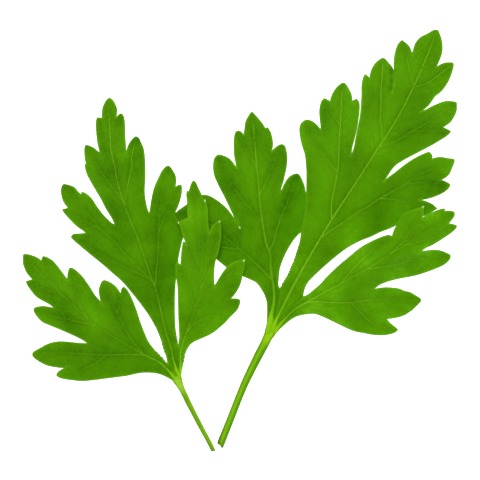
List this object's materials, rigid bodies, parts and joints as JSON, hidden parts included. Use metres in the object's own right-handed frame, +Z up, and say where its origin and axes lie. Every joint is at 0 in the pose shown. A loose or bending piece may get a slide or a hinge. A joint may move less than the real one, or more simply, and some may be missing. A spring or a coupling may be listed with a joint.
{
  "type": "parsley bunch",
  "caption": "Small bunch of cut flat-leaf parsley lying flat: sprigs with thin grooved stems that fork into deeply lobed, toothed green leaflets.",
  "frame": {"origin": "centre of the bunch's footprint, on the surface it lies on", "axes": "+Z up from the surface towards the leaves' upper sides, +Y from the cut stem ends towards the leaf tips, +X to the right"},
  "size_m": [0.0869, 0.0844, 0.0062],
  "materials": {
    "large_stem": "fresh satin green stem, paler along its channel",
    "large_left_blade": "fresh matt leaf with pale veins",
    "large_middle_blade": "fresh matt leaf with pale veins",
    "large_right_blade": "fresh matt leaf with pale veins",
    "small_stem": "fresh satin green stem",
    "small_left_blade": "fresh matt leaf with pale veins",
    "small_middle_blade": "fresh matt leaf with pale veins",
    "small_right_blade": "fresh matt leaf with pale veins"
  },
  "bodies": {
    "root": {"large_sprig_stem": "large_stem", "large_sprig_left_leaflet": "large_left_blade", "large_sprig_middle_leaflet": "large_middle_blade", "large_sprig_right_leaflet": "large_right_blade", "small_sprig_stem": "small_stem", "small_sprig_left_leaflet": "small_left_blade", "small_sprig_middle_leaflet": "small_middle_blade", "small_sprig_right_leaflet": "small_right_blade"}
  },
  "joints": []
}
